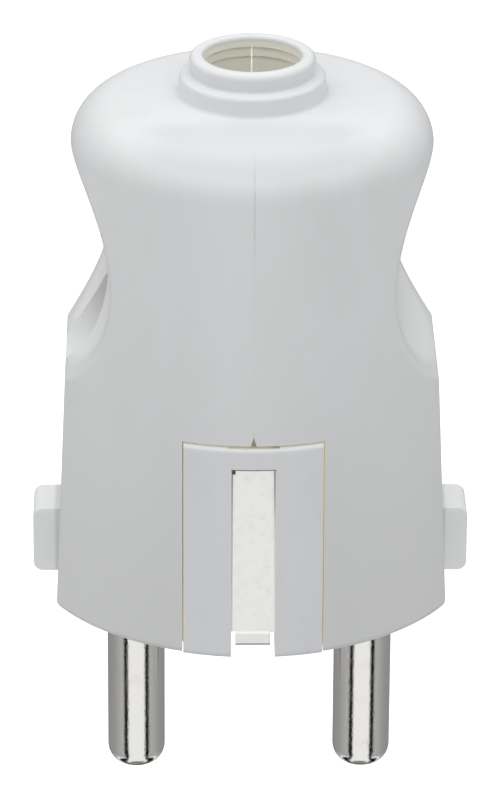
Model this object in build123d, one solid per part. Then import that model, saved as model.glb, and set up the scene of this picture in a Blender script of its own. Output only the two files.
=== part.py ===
from build123d import *
from math import sqrt
import os

# Rewirable earthed mains plug with its cord entry on top, in millimetres.
# The origin is the middle of the engagement face, halfway between the pins.
# +Z runs up to the cord entry, X runs through both pins, and -Y is the front.
os.makedirs("parts", exist_ok=True)

# Contact pins
pin_diameter = 4.8
pin_length = 19.0
pin_spacing = 19.0
pin_tip_rounding = 1.7
seat_radius = 2.6
barrel_radius = 3.1
barrel_foot = 4.0
barrel_top = 15.5
wire_hole_radius = 1.5
wire_hole_floor = 8.0
terminal_height = 12.0

# Cover, outside: a tapered round body with a flat and a finger scoop on each side
base_radius = 18.4
head_radius = 14.6
shoulder_height = 38.0
shell_foot = 0.1
foot_rounding = 0.5
shoulder_rounding = 3.6
roof_edge = 40.9
flat_half_width = 15.93
flat_draft = 0.041
flat_top = 19.4
flat_corner_rounding = 0.8
scoop_height = 28.2
waist_half_width = 11.4
scoop_radius_below = 11.9
scoop_radius_above = 14.9
side_edge_rounding = 1.0
wall = 1.9
roof_inside = 39.6
roof_corner = 2.0

# Collar round the cord entry: a low ring, then a lipped rim
ring_foot = (6.0, 41.7)
ring_top = (5.85, 43.3)
rim_foot = (4.95, 43.45)
rim_top = (5.15, 45.0)
mouth_radius = 3.95
mouth_floor = 44.05
mouth_rounding = 0.3
step_radius = 4.15
step_floor = 43.2
entry_radius = 4.35

# Side keys on the flats
key_reach = 17.96
key_width = 4.7
key_top = 5.75
key_rounding = 0.8

# Front and back windows, filled by the carrier's blocks
window_half_width = 5.65
window_top = 18.05
window_gap = 0.06
notch_half_width = 0.24
notch_height = 0.75

# Pin carrier
disc_top = 3.6
disc_edge_rounding = 0.3
seat_gap = 0.1
flange = (1.6, 3.0)
flange_depth = 6.0
flange_reach = 0.8
flange_half_length = 12.0
block_depth = 11.0
block_rounding = 0.5
column_half_width = 4.2
bridge_height = 16.2
barrel_wall = 1.2
barrel_wall_top = 9.0
carrier_half_length = 13.3
web_half_thickness = 1.0
screw_hole_floor = 9.5
slot_half_width = 1.75
slot_top = 16.0
slot_floor = 13.4
slot_skin = 1.0
slot_relief = 0.22
relief_half_width = 2.05

# Earth bracket, folded from strip
strip = 0.6
strip_half_width = 1.65
strip_bend = 0.6
strip_tip = (0.8, 0.9)
tab_half_width = 1.4
tab_height = 2.35
contact_foot = 2.4
pad_half_width = 3.4
pad_half_length = 3.2
pad_rounding = 1.0
earth_screw_y = 7.6
washer_size = 6.3
washer_thickness = 0.8
washer_rounding = 0.6

# Screws: shank radius, head radius, head height, length
housing_screw = (1.9, 3.3, 2.4, 17.5)
terminal_screw = (1.45, 2.5, 1.8, 2.6)
earth_screw = (1.7, 3.0, 2.0, 6.5)
clamp_screw = (1.1, 2.3, 1.8, 8.5)
head_rounding = 0.3
thread_gap = 0.03
driver_slot = (0.8, 1.0)

# Screw well in the left scoop and nut pocket in the right half
housing_screw_height = 22.0
well_radius = 3.6
well_floor = 7.5
boss_wall = 1.6
post_radius = 3.3
screw_clearance = 2.1
screw_room_end = 10.3
nut_size = 7.0
nut_thickness = 3.2
nut_corner_share = 0.66
nut_x = 5.2
nut_gap = 0.05
nut_way_in = 2.5
pocket_half_width = 5.1
pocket_wall_top = 4.4

# Strain relief
clamp_height = 32.0
clamp_width = 4.4
clamp_screw_y = 8.8
clamp_screw_depth = 8.2
clamp_screw_gap = 0.2
clamp_seat = 0.6
clamp_thickness = 1.9
clamp_rise = 3.6
clamp_reach = 11.2
clamp_foot = (4.9, 6.0)
clamp_crown = (3.6, 4.8)
clamp_end_rounding = 0.5
clamp_bend_rounding = 0.8
grip_tooth = 0.7
grip_length = 6.4
clamp_post_radius = 2.4
cord_space = 3.9
saddle_rib = 1.2
saddle_start = 1.5
saddle_half_length = 6.6

# Ribs over the pins, and posts with pegs at the seam
stop_inner = 7.5
stop_outer = 15.0
stop_half_thickness = 0.9
stop_top = 21.0
seam_height = 36.6
seam_y = 11.2
seam_post_radius = 1.9
seam_post_length = 5.0
peg_radius = 0.9
peg_length = 2.0
peg_gap = 0.05

# Reach of the blocks that cut or keep whole sides
beyond = 30.0

pin_x = pin_spacing / 2
pin_radius = pin_diameter / 2


def wall_radius(z, inset=0.0):
    """Radius of the tapered body at height z."""
    taper = (base_radius - head_radius) / shoulder_height
    return base_radius - taper * z - inset


def flat_x(z, inset=0.0):
    """Distance of the drafted side flat from the middle at height z."""
    return flat_half_width - flat_draft * z - inset


def rounded_face(corners):
    """Flat face through (across, up, rounding) corners."""
    face = make_face(Polyline(*[(x, z) for x, z, _ in corners], close=True))
    for x, z, rounding in corners:
        if rounding:
            corner = face.vertices().sort_by_distance(Vector(x, z))[0]
            face = fillet(corner, rounding)
    return face


def turned(corners):
    """Solid of revolution about Z, from (radius, height, rounding) corners."""
    return revolve(Plane.YZ * rounded_face(corners), Axis.Z)


def rod(radius, start, end):
    """Round bar between two points."""
    a, b = Vector(*start), Vector(*end)
    return extrude(Plane(a, z_dir=b - a) * Circle(radius), (b - a).length)


def block(x, y, z):
    """Box from (low, high) spans on each axis."""
    size = [high - low for low, high in (x, y, z)]
    centre = [(high + low) / 2 for low, high in (x, y, z)]
    return Pos(*centre) * Box(*size)


def both_ends(half_length):
    """Span from one side of the middle to the other."""
    return -half_length, half_length


def side_outline(inset):
    """Front view of the cover: drafted flats, with a finger scoop above each."""
    over = rim_top[1] + 1
    half = make_face(Polyline(
        (0, -1), (flat_x(-1, inset), -1), (flat_x(scoop_height, inset), scoop_height),
        (base_radius, scoop_height), (base_radius, over), (0, over), close=True,
    ))
    for radius, side in ((scoop_radius_below, -1), (scoop_radius_above, 1)):
        centre = Pos(waist_half_width + radius, scoop_height)
        room = Pos(0, side * radius) * Rectangle(4 * radius, 2 * radius)
        half -= centre * (Circle(radius + inset) & room)
    across = waist_half_width + scoop_radius_below - flat_x(flat_top, inset)
    drop = sqrt((scoop_radius_below + inset) ** 2 - across**2)
    corner = Vector(flat_x(flat_top, inset), scoop_height - drop)
    half = fillet(half.vertices().sort_by_distance(corner)[0], flat_corner_rounding)
    return half + mirror(half, Plane.YZ)


def scooped(body, inset):
    """Keeps what lies inside the side outline."""
    return body & extrude(Plane.XZ * side_outline(inset), base_radius + 1, both=True)


def is_side_edge(edge):
    """True for the edges where the flats and scoops meet the round body."""
    middle, top = edge.center(), edge.bounding_box().max.Z
    return (abs(middle.X) > waist_half_width - 0.4 and abs(middle.Y) > flange_depth
            and shell_foot + 1 < top < shoulder_height + 0.2)


def cover_outside():
    """Whole cover as one closed form, before it is hollowed and halved."""
    body = turned([
        (0, shell_foot, 0),
        (wall_radius(shell_foot), shell_foot, 0),
        (wall_radius(roof_edge), roof_edge, shoulder_rounding),
        (*ring_foot, 0.3),
        (*ring_top, 0.35),
        (*rim_foot, 0.15),
        (*rim_top, 0.5),
        (0, rim_top[1], 0),
    ])
    body = scooped(body, 0)
    body = fillet(body.edges().filter_by(is_side_edge), side_edge_rounding)
    foot_edges = body.edges().filter_by_position(Axis.Z, shell_foot - 0.01, shell_foot + 0.01)
    return fillet(foot_edges, foot_rounding)


def cavity():
    """Room inside the cover."""
    room = turned([
        (0, -1, 0),
        (wall_radius(-1, wall), -1, 0),
        (wall_radius(roof_inside, wall), roof_inside, roof_corner),
        (0, roof_inside, 0),
    ])
    return scooped(room, wall)


def cord_entry():
    """Stepped bore through the collar."""
    low, lip, over = roof_inside - 2, rim_top[1], rim_top[1] + 1
    flare = mouth_radius + 1.2 * mouth_rounding
    return turned([
        (0, low, 0),
        (entry_radius, low, 0),
        (entry_radius, step_floor, 0),
        (step_radius, step_floor, 0),
        (step_radius, mouth_floor, 0),
        (mouth_radius, mouth_floor, 0),
        (mouth_radius, lip, mouth_rounding),
        (flare, lip, 0),
        (flare, over, 0),
        (0, over, 0),
    ])


def side_key():
    """Key that stands out of the flat, with its outer corners rounded."""
    face = rounded_face([
        (flat_half_width - wall, shell_foot, 0),
        (key_reach, shell_foot, key_rounding),
        (key_reach, key_top, key_rounding),
        (flat_half_width - wall, key_top, 0),
    ])
    return extrude(Plane.XZ * face, key_width / 2, both=True)


def windows():
    """Openings for the carrier's front and back blocks, notched at the seam."""
    cut = block(both_ends(window_half_width), both_ends(base_radius + 1), (-1, window_top))
    peak = make_face(Polyline(
        (-notch_half_width, window_top), (notch_half_width, window_top),
        (0, window_top + notch_height), close=True))
    return cut + extrude(Plane.XZ * peak, base_radius + 1, both=True)


def flange_ring(gap):
    """Ring round the carrier's disc, or with a gap the groove that it turns in."""
    low, high = flange
    reach = flange_reach + gap
    inner = base_radius - flange_depth
    ring = turned([
        (inner, low - gap, 0),
        (wall_radius(low, wall) + reach, low - gap, 0),
        (wall_radius(high, wall) + reach, high + gap, 0),
        (inner, high + gap, 0),
    ])
    return ring & block(both_ends(flange_half_length + gap), both_ends(beyond), (0, high + 1))


def shell_blank():
    """Hollow cover with both keys, windows and the groove for the carrier."""
    body = cover_outside() + side_key() + mirror(side_key(), Plane.YZ)
    return body - cavity() - cord_entry() - windows() - flange_ring(seat_gap)


def half(body, side, past=0.0):
    """The part of a body on one side of the seam, and a little past it if asked."""
    span = (-past, beyond) if side > 0 else (-beyond, past)
    return body & block(span, both_ends(beyond), (-beyond, 2 * beyond))


def pin_stop(side):
    """Rib that holds a pin's barrel down in the carrier."""
    rib = block((stop_inner, stop_outer), both_ends(stop_half_thickness), (barrel_top, stop_top))
    return rib if side > 0 else mirror(rib, Plane.YZ)


def front_and_back(radius, start, end, y):
    """Two bars along X between two distances from the seam, at -y and y."""
    x0, x1 = start[0], end[0]
    return Part() + [rod(radius, (x0, place, start[1]), (x1, place, end[1])) for place in (-y, y)]


def seam_posts(side):
    """Short posts under the roof that meet at the seam."""
    return front_and_back(
        seam_post_radius, (0, seam_height), (side * seam_post_length, seam_height), seam_y)


def seam_pegs(gap):
    """Pegs that line the halves up, or with a gap the holes for them."""
    return front_and_back(
        peg_radius + gap, (-peg_length, seam_height), (peg_length + gap, seam_height), seam_y)


def inside(pieces, side):
    """Trims inner pieces to the middle of the cover's wall on one side."""
    low, inset = shell_foot + foot_rounding, wall / 2
    room = turned([
        (0, low, 0), (wall_radius(low, inset), low, 0),
        (wall_radius(roof_inside, inset), roof_inside + inset, 0), (0, roof_inside + inset, 0),
    ])
    return half(pieces, side) & scooped(room, inset)


def left_shell():
    """Left half: screw well with its boss, post, and the pegs."""
    z = housing_screw_height
    boss = rod(well_radius + boss_wall, (-base_radius, 0, z), (boss_wall - well_floor, 0, z))
    post = rod(post_radius, (-base_radius, 0, z), (0, 0, z))
    shell = half(shell_blank(), -1)
    shell += inside(boss + post + pin_stop(-1) + seam_posts(-1), -1)
    shell -= rod(well_radius, (-base_radius, 0, z), (-well_floor, 0, z))
    shell -= rod(screw_clearance, (-base_radius, 0, z), (0, 0, z))
    return shell + half(seam_pegs(0), -1, peg_length)


def cord_saddle():
    """Ribs that carry the cord opposite the clamp bar."""
    ribs = Part()
    for dz in both_ends(clamp_width / 3):
        low, high = both_ends(saddle_rib / 2)
        ribs += block((saddle_start, base_radius), both_ends(saddle_half_length),
                      (clamp_height + dz + low, clamp_height + dz + high))
    return ribs - rod(cord_space, (0, 0, clamp_height - clamp_width), (0, 0, clamp_height + clamp_width))


def right_shell():
    """Right half: nut pocket, posts for the clamp screws, and the cord's saddle."""
    z = housing_screw_height
    post = rod(post_radius, (0, 0, z), (base_radius, 0, z))
    pocket_wall = block((nut_x - boss_wall, base_radius), both_ends(pocket_half_width),
                        (z - pocket_half_width, z + pocket_wall_top))
    clamp_posts = front_and_back(
        clamp_post_radius, (clamp_seat, clamp_height), (base_radius, clamp_height), clamp_screw_y)
    pieces = post + pocket_wall + clamp_posts + cord_saddle() + pin_stop(1) + seam_posts(1)
    reach = nut_size / 2 + nut_gap
    shell = half(shell_blank(), 1) + inside(pieces, 1)
    shell -= rod(screw_clearance, (0, 0, z), (screw_room_end, 0, z))
    shell -= block((nut_x - nut_gap, nut_x + nut_thickness + nut_gap), both_ends(reach),
                   (z - reach, z + reach + nut_way_in))
    shell -= front_and_back(
        clamp_screw[0] + thread_gap, (0, clamp_height), (clamp_screw_depth, clamp_height), clamp_screw_y)
    return shell - seam_pegs(peg_gap)


def carrier_disc():
    """Round base that closes the cover and carries the pins."""
    inset = wall + seat_gap
    disc = turned([
        (0, 0, 0), (wall_radius(0, inset), 0, disc_edge_rounding),
        (wall_radius(disc_top, inset), disc_top, 0), (0, disc_top, 0),
    ])
    low, high = flat_x(0, inset), flat_x(disc_top, inset)
    sides = make_face(Polyline(
        (-low, 0), (low, 0), (high, disc_top), (-high, disc_top), close=True))
    disc &= extrude(Plane.XZ * sides, base_radius, both=True)
    return disc + flange_ring(0)


def strip_slot(outer, inner, z):
    """Room for the earth strip at the front, between two depths."""
    return block(both_ends(slot_half_width), (-outer, -inner), z)


def carrier_block():
    """Front block: fills the window flush with the cover, with a slot for the strip."""
    top = window_top - window_gap
    skin = wall_radius(slot_top, slot_skin)
    body = turned([
        (0, 0, 0), (wall_radius(0), 0, foot_rounding),
        (wall_radius(top), top, block_rounding), (0, top, 0),
    ])
    body &= block(both_ends(window_half_width - window_gap),
                  (-base_radius - 1, -block_depth), (-1, top + 1))
    body -= strip_slot(base_radius + 1, slot_floor, (-1, slot_top))
    body -= strip_slot(skin, slot_floor, (slot_top - 1, top + 1))
    body -= strip_slot(skin, 0, (bridge_height, top + 1))
    return body - block(both_ends(relief_half_width), (-base_radius - 1, 0), (top - slot_relief, top + 1))


def pin_carrier():
    """Disc, front and back blocks, and the column with seats for both pins."""
    front = carrier_block()
    reach = barrel_radius + seat_gap
    column = block(both_ends(column_half_width), both_ends(block_depth + 0.5), (0, bridge_height))
    web = block(both_ends(pin_x), both_ends(web_half_thickness), (1, barrel_wall_top))
    slot = strip_slot(base_radius + 1, slot_floor, (-1, slot_top))
    body = carrier_disc() + front + mirror(front, Plane.XZ) + column + web
    for x in both_ends(pin_x):
        seat = rod(reach + barrel_wall, (x, 0, 1), (x, 0, barrel_wall_top))
        body += seat & block(both_ends(carrier_half_length), both_ends(beyond), (0, beyond))
    for x in both_ends(pin_x):
        body -= rod(seat_radius + window_gap, (x, 0, -1), (x, 0, barrel_foot + 1))
        body -= rod(reach, (x, 0, barrel_foot), (x, 0, beyond))
    body -= rod(earth_screw[0] + 0.4, (0, earth_screw_y, screw_hole_floor), (0, earth_screw_y, beyond))
    return body - slot - mirror(slot, Plane.XZ)


def contact_pin(side):
    """Turned pin with a pressed seat and a wire barrel, drilled for its screw."""
    pin = turned([
        (0, -pin_length, 0),
        (pin_radius, -pin_length, pin_tip_rounding),
        (pin_radius, 0, 0),
        (seat_radius, 0, 0),
        (seat_radius, barrel_foot, 0),
        (barrel_radius, barrel_foot, 0),
        (barrel_radius, barrel_top, head_rounding),
        (0, barrel_top, 0),
    ])
    z = terminal_height
    pin -= rod(wire_hole_radius, (0, 0, wire_hole_floor), (0, 0, barrel_top + 1))
    pin -= rod(terminal_screw[0] + thread_gap, (0, -2 * barrel_radius, z), (0, 0, z))
    return Pos(side * pin_x, 0, 0) * pin


def slotted_screw(sizes):
    """Cheese head screw along +Z, head underside at the origin, shank down."""
    shank, head, height, length = sizes
    slot_width, slot_depth = driver_slot
    screw = turned([
        (0, -length, 0), (shank, -length, shank / 4), (shank, 0, 0),
        (head, 0, 0), (head, height, head_rounding), (0, height, 0),
    ])
    return screw - block(both_ends(head + 1), both_ends(slot_width / 2),
                         (height - slot_depth, height + 1))


def facing(point, direction):
    """Place at a point with +Z turned to a direction."""
    return Plane(point, z_dir=direction).location


def square_nut():
    """Square nut with its corners cut round."""
    z = housing_screw_height
    start, end = (nut_x, 0, z), (nut_x + nut_thickness, 0, z)
    low, high = both_ends(nut_size / 2)
    nut = block((start[0], end[0]), (low, high), (z + low, z + high))
    nut &= rod(nut_size * nut_corner_share, start, end)
    return nut - rod(housing_screw[0] + thread_gap, (0, 0, z), (base_radius, 0, z))


def earth_hole(gap):
    """Round hole for the earth screw."""
    return rod(earth_screw[0] + gap, (0, earth_screw_y, bridge_height - 1), (0, earth_screw_y, beyond))


def earth_bracket():
    """One strip folded into both side contacts, with end tabs and a terminal pad on its bridge."""
    middle = bridge_height + strip / 2
    shoulder = wall_radius(slot_top, slot_skin) - strip / 2 - 2 * window_gap
    foot = wall_radius(contact_foot) - strip / 2 - seat_gap
    side = [(strip_tip[0] - foot, strip_tip[1]), (-foot, contact_foot), (-shoulder, middle)]
    path = FilletPolyline(*side, *[(-y, z) for y, z in reversed(side)], radius=strip_bend)
    bracket = extrude(Plane.YZ * trace(path, strip), strip_half_width, both=True)
    for beside in ((-beyond, -tab_half_width), (tab_half_width, beyond)):
        bracket -= block(beside, both_ends(beyond), (-beyond, tab_height))
    pad = block(both_ends(pad_half_width), (earth_screw_y - pad_half_length, block_depth - seat_gap),
                (bridge_height, bridge_height + strip))
    pad = fillet(pad.edges().filter_by(Axis.Z), pad_rounding)
    return bracket + pad - earth_hole(thread_gap)


def earth_clamp_washer():
    """Square washer under the earth screw."""
    low = bridge_height + strip
    plate = Pos(0, earth_screw_y, low + washer_thickness / 2) * Box(
        washer_size, washer_size, washer_thickness)
    return fillet(plate.edges().filter_by(Axis.Z), washer_rounding) - earth_hole(seat_gap)


def cord_clamp():
    """Arched bar with two grip teeth, seen in plan and given its width along Z."""
    seat, low = clamp_seat, clamp_seat - clamp_thickness
    over, crown = seat - clamp_rise, low - clamp_rise
    (inner_foot, outer_foot), (inner_crown, outer_crown) = clamp_foot, clamp_crown
    half_outline = [
        (over, inner_crown, clamp_bend_rounding), (seat, inner_foot, clamp_end_rounding),
        (seat, clamp_reach, clamp_end_rounding), (low, clamp_reach, clamp_end_rounding),
        (low, outer_foot, clamp_bend_rounding), (crown, outer_crown, clamp_bend_rounding),
    ]
    outline = half_outline + [(x, -y, rounding) for x, y, rounding in reversed(half_outline)]
    bar = extrude(rounded_face(outline), clamp_width)
    for z in (clamp_width / 3, 2 * clamp_width / 3):
        bar += Pos(over, 0, z) * Rot(0, 45, 0) * Box(grip_tooth, grip_length, grip_tooth)
    bar = Pos(0, 0, clamp_height - clamp_width / 2) * bar
    return bar - front_and_back(
        clamp_screw[0] + clamp_screw_gap, (crown, clamp_height), (seat + 1, clamp_height), clamp_screw_y)


def screws():
    """Every screw in its place."""
    z = housing_screw_height
    earth_seat = bridge_height + strip + washer_thickness
    placed = {
        "housing_screw": facing((-well_floor, 0, z), (-1, 0, 0)) * slotted_screw(housing_screw),
        "earth_terminal_screw": Pos(0, earth_screw_y, earth_seat) * slotted_screw(earth_screw),
    }
    for name, side in (("left", -1), ("right", 1)):
        seat = (side * pin_x, -barrel_radius - seat_gap, terminal_height)
        placed[f"{name}_terminal_screw"] = facing(seat, (0, -1, 0)) * slotted_screw(terminal_screw)
    for name, side in (("front", -1), ("back", 1)):
        seat = (clamp_seat - clamp_thickness, side * clamp_screw_y, clamp_height)
        placed[f"{name}_clamp_screw"] = facing(seat, (-1, 0, 0)) * slotted_screw(clamp_screw)
    return placed


nodes = {
    "left_shell": left_shell(),
    "right_shell": right_shell(),
    "pin_carrier": pin_carrier(),
    "left_pin": contact_pin(-1),
    "right_pin": contact_pin(1),
    "earth_bracket": earth_bracket(),
    "earth_clamp_washer": earth_clamp_washer(),
    "cord_clamp": cord_clamp(),
    "housing_nut": square_nut(),
    **screws(),
}

for name, shape in nodes.items():
    export_step(shape, f"parts/{name}.step")
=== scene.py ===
import bpy
from math import cos, pi, radians, sin
from mathutils import Matrix, Vector

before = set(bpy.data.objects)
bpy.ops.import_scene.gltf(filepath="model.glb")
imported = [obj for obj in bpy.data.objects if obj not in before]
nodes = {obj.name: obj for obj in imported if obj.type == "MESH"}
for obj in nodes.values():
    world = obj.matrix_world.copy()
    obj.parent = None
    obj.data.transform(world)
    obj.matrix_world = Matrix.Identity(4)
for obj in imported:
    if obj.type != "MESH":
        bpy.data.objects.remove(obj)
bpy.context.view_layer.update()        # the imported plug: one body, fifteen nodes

print("frame loaded:", len(nodes), "nodes")


# shader helpers
class Tone:
    # wraps a socket, so that shader maths reads as maths
    def __init__(self, finish, socket):
        self.finish, self.socket = finish, socket

    def maths(self, operation, *values):
        return self.finish.node("ShaderNodeMath", {"operation": operation}, dict(enumerate(values)))

    def __add__(self, other): return self.maths("ADD", self, other)
    def __radd__(self, other): return self.maths("ADD", other, self)
    def __sub__(self, other): return self.maths("SUBTRACT", self, other)
    def __rsub__(self, other): return self.maths("SUBTRACT", other, self)
    def __mul__(self, other): return self.maths("MULTIPLY", self, other)
    def __rmul__(self, other): return self.maths("MULTIPLY", other, self)
    def __truediv__(self, other): return self.maths("DIVIDE", self, other)
    def __rtruediv__(self, other): return self.maths("DIVIDE", other, self)
    def __pow__(self, other): return self.maths("POWER", self, other)
    def __abs__(self): return self.maths("ABSOLUTE", self)

    def most(self, other): return self.maths("MAXIMUM", self, other)
    def least(self, other): return self.maths("MINIMUM", self, other)

    def ramp(self, low, high):        # 0 below low, 1 above high, smooth between
        return self.finish.node(
            "ShaderNodeMapRange", {"interpolation_type": "SMOOTHSTEP"},
            {"Value": self, "From Min": low, "From Max": high})

    def band(self, rise, fall):        # up over one stretch, down again over another
        return self.ramp(*rise) * (1 - self.ramp(*fall))

    def span(self, low, high):        # low where it is 0, high where it is 1
        return low + (high - low) * self

    def line(self, halfWidth, soft):        # 1 near zero, 0 further off
        return 1 - abs(self).ramp(halfWidth, halfWidth + soft)


class Finish:
    # the nodes of one material, or of the world
    def __init__(self, holder):
        self.holder = bpy.data.materials.new(holder) if isinstance(holder, str) else holder
        self.holder.use_nodes = True
        self.tree = self.holder.node_tree
        self.tree.nodes.clear()

    def node(self, kind, settings=None, inputs=None, output=0):
        made = self.tree.nodes.new(kind)
        for key, value in (settings or {}).items():
            if key == "stops":
                while len(made.color_ramp.elements) < len(value):
                    made.color_ramp.elements.new(0.5)
                for element, (place, colour) in zip(made.color_ramp.elements, value):
                    element.position, element.color = place, colour
            else:
                setattr(made, key, value)
        for key, value in (inputs or {}).items():
            if isinstance(value, Tone):
                self.tree.links.new(value.socket, made.inputs[key])
            else:
                made.inputs[key].default_value = value
        return Tone(self, made.outputs[output]) if made.outputs else None

    def millimetres(self):        # object coordinates, in millimetres
        place = self.node("ShaderNodeTexCoord", output=3)
        return self.node("ShaderNodeMapping", None, {"Vector": place, "Scale": (1000, 1000, 1000)})

    def stretched(self, vector, scale):
        return self.node("ShaderNodeVectorMath", {"operation": "MULTIPLY"}, {0: vector, 1: scale})

    def parts(self, vector):
        made = self.node("ShaderNodeSeparateXYZ", None, {0: vector}).socket.node
        return [Tone(self, socket) for socket in made.outputs]

    def noise(self, vector, scale, detail, roughness):
        return self.node("ShaderNodeTexNoise", None, {
            "Vector": vector, "Scale": scale, "Detail": detail, "Roughness": roughness})

    def mix(self, factor, first, second):        # for colours
        return self.node("ShaderNodeMix", {"data_type": "RGBA"},
                         {0: factor, 6: first, 7: second}, output=2)

    def greys(self, stops, factor):        # a grey ramp, smooth between its stops
        shades = [(at, (value, value, value, 1)) for at, value in stops]
        return self.node("ShaderNodeValToRGB", {"stops": shades}, {0: factor})

    def bump(self, height, distance):
        return self.node("ShaderNodeBump", None, {"Height": height, "Distance": distance, "Strength": 1.0})

    def surface(self, shader):
        self.node("ShaderNodeOutputMaterial", None, {"Surface": shader})
        return self.holder

    def principled(self, sockets):
        return self.surface(self.node("ShaderNodeBsdfPrincipled", None, sockets))


def dress(material, *names):
    for name in names:
        slots = nodes[name].data.materials
        slots.clear()
        slots.append(material)


plasticIor = 1.47        # of the cover and the carrier
noGlow = (0, 0, 0, 1)


# moulded plastic of the two cover halves
cover = {
    "colour": (0.815, 0.828, 0.838, 1),
    "flow": (0.79, 0.805, 0.812, 1),        # faint greyer flow marks
    "foot": (0.748, 0.754, 0.756, 1),        # painted shade, a touch greyer towards the foot
    "brow": (0.715, 0.73, 0.74, 1),        # painted shade on the front of the head
    "grip": (0.94, 0.95, 0.95, 1),        # painted light on the keys and finger scoops
    # painted light in the screw well, cooler towards its mouth
    "well": (0.93, 0.93, 0.905, 1),
    "wellLip": (0.86, 0.875, 0.88, 1),
    "seam": (0.66, 0.67, 0.66, 1),
    "inside": (0.96, 0.95, 0.85, 1),        # painted light: the inside of the collar, lighter and warmer than its shade
    "gapDirt": (0.84, 0.79, 0.62, 1),        # tan along the joints round the insert: painted shade beside them, painted light on their walls
    # painted light, as glows: light through the thin plastic at the collar, light in the joints, in the
    # screw well and on the key tops
    "flashGlow": (0.36, 0.35, 0.29, 1),        # flash on the joint inside the collar
    "insideGlow": (0.01, 0.01, 0.008, 1),
    "gapGlow": (0.105, 0.088, 0.055, 1),
    "wellGlow": (0.06, 0.065, 0.066, 1),
    "keyGlow": (0.025, 0.03, 0.032, 1),
    "roughness": 0.36,
    "glossSpread": 0.07,
    "insideRougher": 0.12,
    "grainDepth": 0.0000016,
    "seamDepth": 3.0,        # of the groove, in grains
    "seamFaint": 0.12,        # how clear the seam is where it fades
    "seamShoulder": 0.8,
    "seamStrength": (0.3, 1.0),        # where it is broken, and where it is whole
    # noise as scale, detail and roughness, with the range of it that shows
    "flowMarks": (0.16, 4.0, 0.55),
    "flowStretch": (1, 1, 0.35),
    "flowShare": (0.42, 0.7),
    "seamBreaks": (0.9, 3.0, 0.6),
    "seamStretch": (0, 1, 1),
    "seamShare": (0.3, 0.62),
    "grain": (7.0, 2.0, 0.6),        # spark-eroded mould texture
    "gloss": (0.35, 3.0, 0.5),
    # places, in millimetres
    "wallRadius": 18.4,        # of the outer wall at its foot
    "wallTaper": 0.1,
    "windowEdge": 5.65,
    "windowTop": 18.05,
    "windowCorner": 0.1,
    "wellHeight": 22.0,
    # fades, in millimetres: from none to full, along the axis or depth that the code names
    "footFade": (0, 30),
    "footSide": (16.0, 16.4),
    "keyRoot": (16.0, 16.3),
    "keyLit": (16.1, 16.4),
    "keyTop": (5.1, 5.7),
    "browFront": (5, 8),
    "browFoot": (39.2, 40.6),
    "browTop": (43.3, 43.5),
    "browSide": (6, 11),
    "scoopDepth": (0.5, 1.8),
    "scoopFoot": (18, 21),
    "scoopTop": (34, 37),
    "wellRim": (3.58, 3.7),
    "wellDeep": (6, 7),
    "wellMouth": (12.3, 14.0),
    "shoulder": (31.5, 35.0),
    "roofEdge": (40.2, 41.8),
    "notchTop": (18.4, 19.6),
    "collarBore": (4.35, 4.6),
    "collarLip": (44.3, 44.9),
    "flashSide": (0, 1),        # it runs along the back only
    "flashTop": (43.9, 44.05),
    "gapDepth": (0.02, 0.08),
    # lines: half width, soft edge
    "seamLine": (0.02, 0.06),
    "seamGroove": (0.02, 0.08),
    "flashLine": (0.035, 0.05),
    "sideGap": (0.05, 0.04),
    "topGap": (0.06, 0.06),
    "topGapStrength": 0.7,
}


def belowWall(z, radius):        # how deep a point lies under the tapered outer wall
    return cover["wallRadius"] - cover["wallTaper"] * z - radius


def windowGap(x, z):        # the joints along the window's sides and top
    edge, top, corner = cover["windowEdge"], cover["windowTop"], cover["windowCorner"]
    sides = (abs(x) - edge).line(*cover["sideGap"]) * (1 - z.ramp(top, top + corner))
    over = (z - top).line(*cover["topGap"]) * (1 - abs(x).ramp(edge, edge + corner))
    return sides.most(cover["topGapStrength"] * over)


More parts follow.
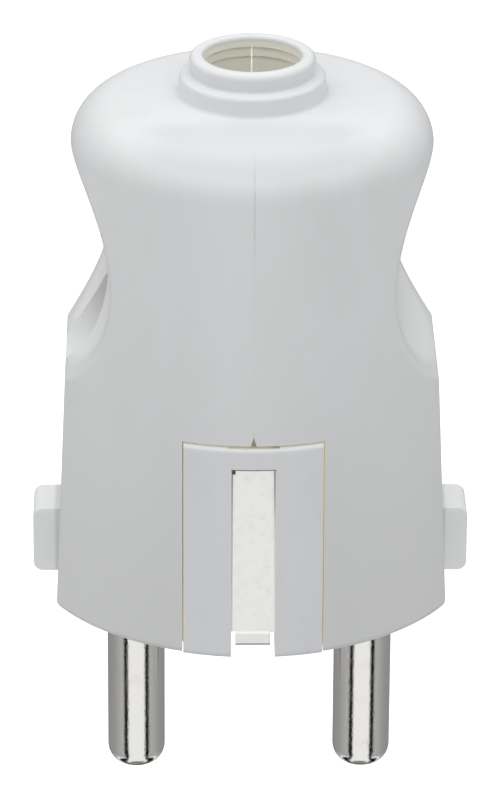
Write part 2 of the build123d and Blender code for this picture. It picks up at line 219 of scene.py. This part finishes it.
def coverPlastic():
    f = Finish("cover plastic")
    p = f.millimetres()
    x, y, z = f.parts(p)
    left, front = -1 * x, -1 * y
    radius = (x * x + y * y) ** 0.5
    depth = belowWall(z, radius)
    flow = f.noise(f.stretched(p, cover["flowStretch"]), *cover["flowMarks"])
    colour = f.mix(flow.ramp(*cover["flowShare"]), cover["colour"], cover["flow"])
    # painted shade, greyer towards the foot
    low = (1 - z.ramp(*cover["footFade"])) * (1 - abs(x).ramp(*cover["footSide"]))
    colour = f.mix(low, colour, cover["foot"])
    # painted shade on the front of the head
    brow = front.ramp(*cover["browFront"]) * z.band(cover["browFoot"], cover["browTop"])
    colour = f.mix(brow * (1 - abs(x).ramp(*cover["browSide"])), colour, cover["brow"])
    # painted light on the finger scoops and keys
    scoop = depth.ramp(*cover["scoopDepth"]) * z.band(cover["scoopFoot"], cover["scoopTop"])
    colour = f.mix(scoop.most(abs(x).ramp(*cover["keyRoot"])), colour, cover["grip"])
    # painted light in the screw well in the left scoop, cooler towards its mouth
    toWell = (y * y + (z - cover["wellHeight"]) ** 2) ** 0.5
    inWell = (1 - toWell.ramp(*cover["wellRim"])) * left.ramp(*cover["wellDeep"])
    outward = left.ramp(*cover["wellMouth"])
    colour = f.mix(inWell, colour, f.mix(outward, cover["well"], cover["wellLip"]))
    # the seam between the halves: clear on the shoulder and at the notch, faint in between
    broken = f.noise(f.stretched(p, cover["seamStretch"]), *cover["seamBreaks"])
    clear = cover["seamShoulder"] * z.band(cover["shoulder"], cover["roofEdge"])
    clear = clear + (1 - z.ramp(*cover["notchTop"])) + cover["seamFaint"]
    whole = broken.ramp(*cover["seamShare"]).span(*cover["seamStrength"])
    seam = x.line(*cover["seamLine"]) * whole * clear.least(1.0)
    colour = f.mix(seam, colour, cover["seam"])
    # painted light inside the collar
    inner = (1 - radius.ramp(*cover["collarBore"])) * (1 - z.ramp(*cover["collarLip"]))
    colour = f.mix(inner, colour, cover["inside"])
    # tan along the joints round the insert: painted shade beside them
    gap = windowGap(x, z)
    colour = f.mix(gap, colour, cover["gapDirt"])
    # painted light: glows inside the collar, in the joints, in the screw well and on the key tops
    flash = x.line(*cover["flashLine"]) * y.ramp(*cover["flashSide"])
    flash = flash * (1 - z.ramp(*cover["flashTop"]))
    glow = f.mix(inner, noGlow, f.mix(flash, cover["insideGlow"], cover["flashGlow"]))
    glow = f.mix(gap * depth.ramp(*cover["gapDepth"]), glow, cover["gapGlow"])
    glow = f.mix(inWell * outward, glow, cover["wellGlow"])
    keyLit = abs(x).ramp(*cover["keyLit"]) * z.ramp(*cover["keyTop"])
    glow = f.mix(keyLit, glow, cover["keyGlow"])
    gloss = f.noise(p, *cover["gloss"])
    rough = cover["roughness"] + cover["glossSpread"] * (gloss - 0.5) + cover["insideRougher"] * inner
    groove = cover["seamDepth"] * x.line(*cover["seamGroove"]) * clear * (1 - inner)
    grain = f.bump(f.noise(p, *cover["grain"]) - groove, cover["grainDepth"])
    return f.principled({"Base Color": colour, "Roughness": rough, "Normal": grain, "IOR": plasticIor,
                         "Emission Color": glow, "Emission Strength": 1.0})


dress(coverPlastic(), "left_shell", "right_shell")
print("cover halves dressed")


# the pin carrier is moulded in a slightly bluer white
carrier = {
    "colour": (0.80, 0.81, 0.832, 1),
    "shade": (0.768, 0.779, 0.797, 1),
    "speck": (0.70, 0.71, 0.72, 1),
    "worn": (0.95, 0.965, 0.985, 1),        # painted highlight on the rounded top edge
    "edge": (0.16, 0.13, 0.12, 1),        # painted shade at the top of the strip's slot
    "slotGlow": (0.30, 0.29, 0.265, 1),
    "roughness": 0.42,
    "roughSpread": 0.08,
    "grainDepth": 0.0000022,
    # noise as scale, detail and roughness, with the range of it that shows
    "clouds": (0.28, 4.0, 0.6),
    "cloudStretch": (1, 1, 0.5),
    "cloudShare": (0.4, 0.75),
    "specks": (2.6, 1.0, 0.5),
    "speckShare": (0.765, 0.80),
    "speckStrength": 0.35,
    "grain": (5.0, 2.0, 0.6),
    # places, in millimetres
    "slotHalf": 1.75,
    "slotRim": 16.03,        # middle of the dark line over the slot
    "reliefHalf": 2.05,
    "reliefTop": 17.77,
    # fades, in millimetres
    "sideWall": (5.53, 5.57),
    "sideGlow": (5.55, 5.585),
    "sideFoot": (0.9, 1.6),
    "topEdge": (17.35, 17.7),
    "gapFade": (4, 14),        # the joints let less light through below
    "gapStrength": (0.55, 1.0),
    "gapDepth": (0.03, 0.12),
    "slotFade": (9, 14),        # the slot's walls are darker above
    "slotStrength": (1.0, 0.25),
    "slotEnd": (15.9, 16.0),
    "slotDepth": (0.05, 0.2),
    "reliefEnd": (1.2, 1.4),        # dark from here to the relief's right end
    "reliefStrength": (0.8, 0.0),
    "sideSoft": 0.05,
    # lines: half width, soft edge
    "rimLine": (0.03, 0.03),
    "reliefLine": (0.04, 0.03),
    "wallLine": (0.03, 0.02),
}


def carrierPlastic():
    f = Finish("carrier plastic")
    p = f.millimetres()
    x, y, z = f.parts(p)
    depth = belowWall(z, (x * x + y * y) ** 0.5)
    cloud = f.noise(f.stretched(p, carrier["cloudStretch"]), *carrier["clouds"])
    colour = f.mix(cloud.ramp(*carrier["cloudShare"]), carrier["colour"], carrier["shade"])
    speck = f.noise(p, *carrier["specks"]).ramp(*carrier["speckShare"])
    colour = f.mix(speck * carrier["speckStrength"], colour, carrier["speck"])
    # painted light: the side walls in the joints, tan and lighter than their shade
    dusty = abs(x).ramp(*carrier["sideWall"]) * z.ramp(*carrier["sideFoot"])
    colour = f.mix(dusty, colour, cover["gapDirt"])
    # painted highlight on the rounded top edge
    colour = f.mix(z.ramp(*carrier["topEdge"]), colour, carrier["worn"])
    # painted shade: a dark line over the strip's slot
    rim = (z - carrier["slotRim"]).line(*carrier["rimLine"])
    rim = rim * x.line(carrier["slotHalf"], carrier["sideSoft"])
    colour = f.mix(rim, colour, carrier["edge"])
    # painted light in the joints, least at the right end of the relief
    gap = abs(x).ramp(*carrier["sideGlow"]) * z.ramp(*carrier["gapFade"]).span(*carrier["gapStrength"])
    relief = x.line(carrier["reliefHalf"], carrier["sideSoft"])
    relief = relief * (z - carrier["reliefTop"]).line(*carrier["reliefLine"])
    relief = relief * x.ramp(*carrier["reliefEnd"]).span(*carrier["reliefStrength"])
    glow = f.mix(gap.most(relief) * depth.ramp(*carrier["gapDepth"]), noGlow, cover["gapGlow"])
    # painted light on the slot's walls, weaker higher up
    wall = (abs(x) - carrier["slotHalf"]).line(*carrier["wallLine"])
    wall = wall * z.ramp(*carrier["slotFade"]).span(*carrier["slotStrength"])
    wall = wall * (1 - z.ramp(*carrier["slotEnd"]))
    glow = f.mix(wall * depth.ramp(*carrier["slotDepth"]), glow, carrier["slotGlow"])
    grain = f.bump(f.noise(p, *carrier["grain"]), carrier["grainDepth"])
    rough = carrier["roughness"] + carrier["roughSpread"] * (cloud - 0.5)
    return f.principled({"Base Color": colour, "Roughness": rough, "Normal": grain, "IOR": plasticIor,
                         "Emission Color": glow, "Emission Strength": 1.0})


dress(carrierPlastic(), "pin_carrier")
print("pin carrier dressed")


# nickel of the turned pins: fine turning rings, and long scratches from plugging in
pinMetal = {
    "colour": (0.80, 0.79, 0.765, 1),
    "tarnish": (0.62, 0.58, 0.52, 1),
    "roughness": 0.10,
    "ringDepth": 0.0000009,
    "scratchDepth": 0.0000012,
    "dentDepth": 0.000012,
    "stainTint": 0.25,
    "spotTint": 0.5,
    "stainRougher": 0.06,
    "spotRougher": 0.18,
    "scratchRougher": 0.08,
    # noise as scale, detail and roughness, with the range of it that shows
    "rings": (14.0, 3.0, 0.7),
    "ringStretch": (0.02, 0.02, 1),
    "scratches": (6.0, 3.0, 0.6),
    "scratchStretch": (1, 1, 0.035),
    "scratchShare": (0.62, 0.70),
    "spots": (1.9, 3.0, 0.65),
    "spotShare": (0.68, 0.78),
    "stains": (0.45, 4.0, 0.6),
    "stainShare": (0.5, 0.8),
    "dents": (5.0, 3.0, 0.6),
}


def pinNickel():
    f = Finish("pin nickel")
    p = f.millimetres()
    rings = f.noise(f.stretched(p, pinMetal["ringStretch"]), *pinMetal["rings"])
    scratch = f.noise(f.stretched(p, pinMetal["scratchStretch"]), *pinMetal["scratches"])
    scratch = scratch.ramp(*pinMetal["scratchShare"])
    spots = f.noise(p, *pinMetal["spots"]).ramp(*pinMetal["spotShare"])
    stain = f.noise(p, *pinMetal["stains"]).ramp(*pinMetal["stainShare"])
    tint = pinMetal["stainTint"] * stain + pinMetal["spotTint"] * spots
    colour = f.mix(tint, pinMetal["colour"], pinMetal["tarnish"])
    rough = (pinMetal["roughness"] + pinMetal["stainRougher"] * stain
             + pinMetal["spotRougher"] * spots + pinMetal["scratchRougher"] * scratch)
    dents = f.noise(p, *pinMetal["dents"])
    height = (pinMetal["ringDepth"] * rings + pinMetal["scratchDepth"] * (1 - scratch)
              + pinMetal["dentDepth"] * dents)
    return f.principled({"Base Color": colour, "Metallic": 1.0, "Roughness": rough,
                         "Normal": f.bump(height, 1.0)})


dress(pinNickel(), "left_pin", "right_pin")
print("pins dressed")


# rolled spring strip of the earth contact
stripMetal = {
    "colour": (0.81, 0.806, 0.783, 1),
    "dull": (0.715, 0.71, 0.687, 1),
    "tab": (0.96, 0.955, 0.93, 1),        # the bent end faces the floor: painted light, a pale and less metallic face
    "tabGlow": (0.17, 0.168, 0.155, 1),        # painted light on the tab, for what it would scatter up from below
    "notchGlow": (0.22, 0.19, 0.12, 1),        # painted light on the bridge, for what the notch over it lets in
    # painted shade at the tab's foot and sides and in the slot's upper left corner
    "edge": (0.10, 0.08, 0.075, 1),
    "roughness": 0.34,
    "rollDepth": 0.0000011,
    "mottleTint": 0.6,
    "mottleSpread": 0.10,
    "rollSpread": 0.05,
    "dirtRougher": 0.3,
    # how much of the metal's shine the tab and the painted dark edges take away
    "tabDull": 0.5,
    "dirtDull": 0.8,
    # noise as scale, detail and roughness, with the range of it that shows
    "roll": (11.0, 3.0, 0.6),
    "rollStretch": (1, 0.03, 0.03),
    "mottle": (1.4, 4.0, 0.65),
    "mottleShare": (0.45, 0.75),
    # places, in millimetres
    "halfWidth": 1.65,
    "bridgeMiddle": 13.0,        # of the patch that shows through the notch
    # fades, in millimetres
    "tabFold": (2.25, 2.5),
    "tabFoot": (0.88, 0.94),
    "tabSide": (1.35, 1.38),
    "rimTurn": (0, 1),        # from the middle to the right, where the painted shade is stronger
    "rimStrength": (0.35, 1.0),
    "cornerHeight": (15.2, 15.35),
    "bridgeTop": (16.7, 16.75),
    # lines: half width, soft edge
    "cornerLine": (0.16, 0.12),
    "notchLine": (0.3, 0.1),
    "bridgeLine": (1.2, 0.3),
}


def stripNickel():
    f = Finish("strip nickel")
    p = f.millimetres()
    x, y, z = f.parts(p)
    roll = f.noise(f.stretched(p, stripMetal["rollStretch"]), *stripMetal["roll"])
    mottle = f.noise(p, *stripMetal["mottle"])
    tint = mottle.ramp(*stripMetal["mottleShare"]) * stripMetal["mottleTint"]
    colour = f.mix(tint, stripMetal["colour"], stripMetal["dull"])
    # the end tab; painted shade lies at its foot, along its sides and in the slot's upper left corner
    tab = 1 - z.ramp(*stripMetal["tabFold"])
    foot = 1 - z.ramp(*stripMetal["tabFoot"])
    rim = abs(x).ramp(*stripMetal["tabSide"]) * tab
    rim = rim * x.ramp(*stripMetal["rimTurn"]).span(*stripMetal["rimStrength"])
    corner = (x + stripMetal["halfWidth"]).line(*stripMetal["cornerLine"])
    corner = corner * z.ramp(*stripMetal["cornerHeight"])
    dirt = foot.most(rim).most(corner)
    # painted light on the tab, painted shade on its dark edges
    colour = f.mix(dirt, f.mix(tab, colour, stripMetal["tab"]), stripMetal["edge"])
    glow = f.mix(tab * (1 - dirt), noGlow, stripMetal["tabGlow"])
    # painted light on the bridge seen through the notch
    under = x.line(*stripMetal["notchLine"]) * z.ramp(*stripMetal["bridgeTop"])
    under = under * (abs(y) - stripMetal["bridgeMiddle"]).line(*stripMetal["bridgeLine"])
    glow = f.mix(under, glow, stripMetal["notchGlow"])
    dull = (stripMetal["tabDull"] * tab).most(stripMetal["dirtDull"] * dirt)
    rough = stripMetal["roughness"] + stripMetal["mottleSpread"] * (mottle - 0.5)
    rough = rough + stripMetal["rollSpread"] * (roll - 0.5) + stripMetal["dirtRougher"] * dirt
    return f.principled({"Base Color": colour, "Metallic": 1 - dull, "Roughness": rough,
                         "Emission Color": glow, "Emission Strength": 1.0,
                         "Normal": f.bump(roll, stripMetal["rollDepth"])})


dress(stripNickel(), "earth_bracket")
print("earth strip dressed")


# zinc plated screws, nut and washer
zinc = {
    "colour": (0.66, 0.665, 0.67, 1),
    "bloom": (0.50, 0.52, 0.55, 1),
    "grime": (0.07, 0.068, 0.065, 1),        # painted shade in the housing screw's slot, the one that shows
    "roughness": 0.30,
    "roughSpread": 0.2,
    "depth": 0.0000025,
    # noise as scale, detail and roughness, with the range of it that shows
    "clouds": (0.8, 4.0, 0.6),
    "cloudShare": (0.35, 0.7),
    "pits": (6.0, 3.0, 0.6),
    # fades of the painted slot shade, in millimetres
    "slotFloor": (8.6, 8.7),
    "headFace": (9.6, 9.8),        # it stops short of the head's face
    "headFoot": (18.5, 18.6),        # the other screws lie lower or off the middle
    "slotLine": (0.39, 0.03),        # half width, soft edge
}


def screwZinc():
    f = Finish("screw zinc")
    p = f.millimetres()
    x, y, z = f.parts(p)
    cloud = f.noise(p, *zinc["clouds"])
    pits = f.noise(p, *zinc["pits"])
    colour = f.mix(cloud.ramp(*zinc["cloudShare"]), zinc["colour"], zinc["bloom"])
    # painted shade in the housing screw's slot
    inSlot = (-1 * x).band(zinc["slotFloor"], zinc["headFace"])
    inSlot = inSlot * y.line(*zinc["slotLine"]) * z.ramp(*zinc["headFoot"])
    colour = f.mix(inSlot, colour, zinc["grime"])
    return f.principled({"Base Color": colour, "Metallic": 1.0,
                         "Roughness": zinc["roughness"] + zinc["roughSpread"] * (pits - 0.5),
                         "Normal": f.bump(pits, zinc["depth"])})


dress(screwZinc(), "housing_screw", "housing_nut", "earth_terminal_screw", "earth_clamp_washer",
      "left_terminal_screw", "right_terminal_screw", "front_clamp_screw", "back_clamp_screw")


# grey nylon of the strain relief bar
clamp = {
    "colour": (0.60, 0.60, 0.58, 1),
    "shade": (0.50, 0.50, 0.485, 1),
    "roughness": 0.55,
    "roughSpread": 0.1,
    "depth": 0.000004,
    # noise as scale, detail and roughness, with the range of it that shows
    "clouds": (0.5, 4.0, 0.6),
    "cloudShare": (0.35, 0.7),
    "grain": (5.0, 3.0, 0.6),
}


def clampNylon():
    f = Finish("clamp nylon")
    p = f.millimetres()
    cloud = f.noise(p, *clamp["clouds"])
    grain = f.noise(p, *clamp["grain"])
    colour = f.mix(cloud.ramp(*clamp["cloudShare"]), clamp["colour"], clamp["shade"])
    return f.principled({"Base Color": colour, "Normal": f.bump(grain, clamp["depth"]),
                         "Roughness": clamp["roughness"] + clamp["roughSpread"] * (grain - 0.5)})


dress(clampNylon(), "cord_clamp")
print("screws and strain relief dressed")


# studio: floor well below the plug, tent and card that only mirrors see, sky brighter above
studio = {
    "floorHeight": -0.40,
    "floorSize": 14.0,
    "floorColour": (0.72, 0.72, 0.72, 1),
    "floorLift": 0.75,        # what camera and mirror rays see besides the lit floor
    "tentRadius": 0.45,
    "tentHeight": 0.70,
    "tentSides": 96,
    "tentGap": 0.01,        # between tent and floor
    "cardGap": 0.005,        # between card and floor
    "sky": 0.655,
    "skyRise": (0, 0.5),
    "highSides": 0.42,
    "sidesRise": (0.85, 1.25),
    "leftShare": 0.22,        # how much stronger the light is from the left
}
softbox = {"watts": 0.078, "size": 0.20, "place": (0, -0.05, 0.17), "aim": (0, 0, 0.02)}
# how bright the tent is, by angle from the camera's side: front panel, dark gap, grey sides
tentStops = [
    (0.0, 1.0), (0.183, 1.0), (0.195, 0.005), (0.278, 0.005), (0.292, 0.52), (0.55, 0.355), (1.0, 0.25),
]
# the card under it: its sides go by distance from the middle, and the front panel goes on between them
card = {
    "sides": [(0.0, 0.20), (0.155, 0.28), (0.165, 0.005), (0.262, 0.005),
              (0.272, 1.0), (0.315, 1.0), (0.34, 0.42), (1.0, 0.42)],
    "middle": 0.25,
    "panelStart": (0.085, 0.105),
    "panelEdge": (0.183, 0.195),
    "gapTurn": 0.237,
    "gapLine": (0.04, 0.012),
    "gapStart": (0.18, 0.2),
    # the gap turns away as it nears the middle, so that the pins' dark lines stay straight
    "bend": 0.0065,
    "bendStart": 0.03,
    "leastSquare": 0.001,        # keeps the bend finite in the middle
}


def seen(f):        # 1 for camera, mirror and glass rays, 0 for light on surfaces
    path = f.node("ShaderNodeLightPath").socket.node
    camera, mirror, glass = [
        Tone(f, path.outputs[name]) for name in ("Is Camera Ray", "Is Glossy Ray", "Is Transmission Ray")]
    return camera.most(mirror).most(glass)


def turnedAway(f, x, y):        # 0 towards the camera's side, 1 behind
    return f.node("ShaderNodeMath", {"operation": "ARCTAN2"}, {0: abs(x), 1: -1 * y}) / pi


def mirrorsOnly(piece):
    piece.visible_camera = piece.visible_diffuse = piece.visible_shadow = False
    piece.visible_transmission = piece.visible_volume_scatter = False


def makeFloor():
    bpy.ops.object.select_all(action="DESELECT")
    bpy.ops.mesh.primitive_plane_add(size=studio["floorSize"], location=(0, 0, studio["floorHeight"]))
    floor = bpy.context.object
    floor.name = "floor"
    f = Finish("floor paper")
    base = f.node("ShaderNodeBsdfDiffuse", None, {"Color": studio["floorColour"]})
    lift = f.node("ShaderNodeEmission", None, {"Strength": seen(f) * studio["floorLift"]})
    floor.data.materials.append(f.surface(f.node("ShaderNodeAddShader", None, {0: base, 1: lift})))


def makeTent():
    bpy.ops.object.select_all(action="DESELECT")
    middle = studio["floorHeight"] + studio["tentGap"] + studio["tentHeight"] / 2
    bpy.ops.mesh.primitive_cylinder_add(
        vertices=studio["tentSides"], radius=studio["tentRadius"], depth=studio["tentHeight"],
        end_fill_type="NOTHING", location=(0, 0, middle))
    tent = bpy.context.object
    tent.name = "tent"
    f = Finish("tent cloth")
    x, y = f.parts(f.node("ShaderNodeTexCoord", output=3))[:2]
    shade = f.greys(tentStops, turnedAway(f, x, y))
    tent.data.materials.append(f.surface(f.node("ShaderNodeEmission", None, {"Color": shade})))
    mirrorsOnly(tent)


def makeCard():        # what the pins' round tips mirror
    bpy.ops.object.select_all(action="DESELECT")
    bpy.ops.mesh.primitive_plane_add(
        size=2 * studio["tentRadius"], location=(0, 0, studio["floorHeight"] + studio["cardGap"]))
    plane = bpy.context.object
    plane.name = "card"
    f = Finish("card paper")
    x, y = f.parts(f.node("ShaderNodeTexCoord", output=3))[:2]
    reach = (x * x + y * y) ** 0.5
    bend = (card["bend"] / (reach * reach).most(card["leastSquare"]) - card["bendStart"]).most(0.0)
    turn = turnedAway(f, x, y) - bend
    panel = reach.ramp(*card["panelStart"]).span(card["middle"], 1)
    gap = (turn - card["gapTurn"]).line(*card["gapLine"]) * reach.ramp(*card["gapStart"])
    sides = f.greys(card["sides"], reach) * (1 - gap)
    shade = panel + turn.ramp(*card["panelEdge"]) * (sides - panel)
    plane.data.materials.append(f.surface(f.node("ShaderNodeEmission", None, {"Strength": shade})))
    mirrorsOnly(plane)


def makeSoftbox():
    bpy.ops.object.light_add(type="AREA", location=softbox["place"])
    lamp = bpy.context.object
    lamp.name = "softbox"
    lamp.data.energy, lamp.data.size = softbox["watts"], softbox["size"]
    away = Vector(softbox["place"]) - Vector(softbox["aim"])
    lamp.rotation_euler = away.to_track_quat("Z", "Y").to_euler()
    lamp.visible_glossy = lamp.visible_camera = False        # mirrors show the tent instead


def makeWorld():
    world = bpy.data.worlds.new("studio white")
    bpy.context.scene.world = world
    f = Finish(world)
    x, _, z = f.parts(f.node("ShaderNodeTexCoord", output=0))
    sides = (z + abs(x)).ramp(*studio["sidesRise"]) * (1 - studio["leftShare"] * x)
    light = studio["sky"] * z.ramp(*studio["skyRise"]) + studio["highSides"] * sides
    shown = seen(f)
    glow = shown + (1 - shown) * light
    backdrop = f.node("ShaderNodeBackground", None, {"Color": (1, 1, 1, 1), "Strength": glow})
    f.node("ShaderNodeOutputWorld", None, {"Surface": backdrop})


makeFloor()
makeTent()
makeCard()
makeSoftbox()
makeWorld()
print("studio built")


# camera, fitted to the photo's outline
view = {
    "distance": 0.430, "pitch": 24.55, "azimuth": 0.94, "roll": 0.333,
    "target": (-0.00013, 0, 0.0144), "focalPixels": 5222, "imageHeight": 803,
    "nearest": 0.01, "farthest": 50,
}


def makeCamera():
    bpy.ops.object.camera_add()
    camera = bpy.context.object
    camera.name = "camera"
    pitch, azimuth = radians(view["pitch"]), radians(view["azimuth"])
    back = Vector((-cos(pitch) * sin(azimuth), -cos(pitch) * cos(azimuth), sin(pitch)))
    camera.location = Vector(view["target"]) + back * view["distance"]
    roll = Matrix.Rotation(radians(view["roll"]), 4, "Z")
    camera.rotation_euler = (back.to_track_quat("Z", "Y").to_matrix().to_4x4() @ roll).to_euler()
    camera.data.lens = view["focalPixels"] / view["imageHeight"] * camera.data.sensor_width
    camera.data.clip_start, camera.data.clip_end = view["nearest"], view["farthest"]
    bpy.context.scene.camera = camera


makeCamera()
bpy.context.scene.view_settings.view_transform = "Standard"

print("done")
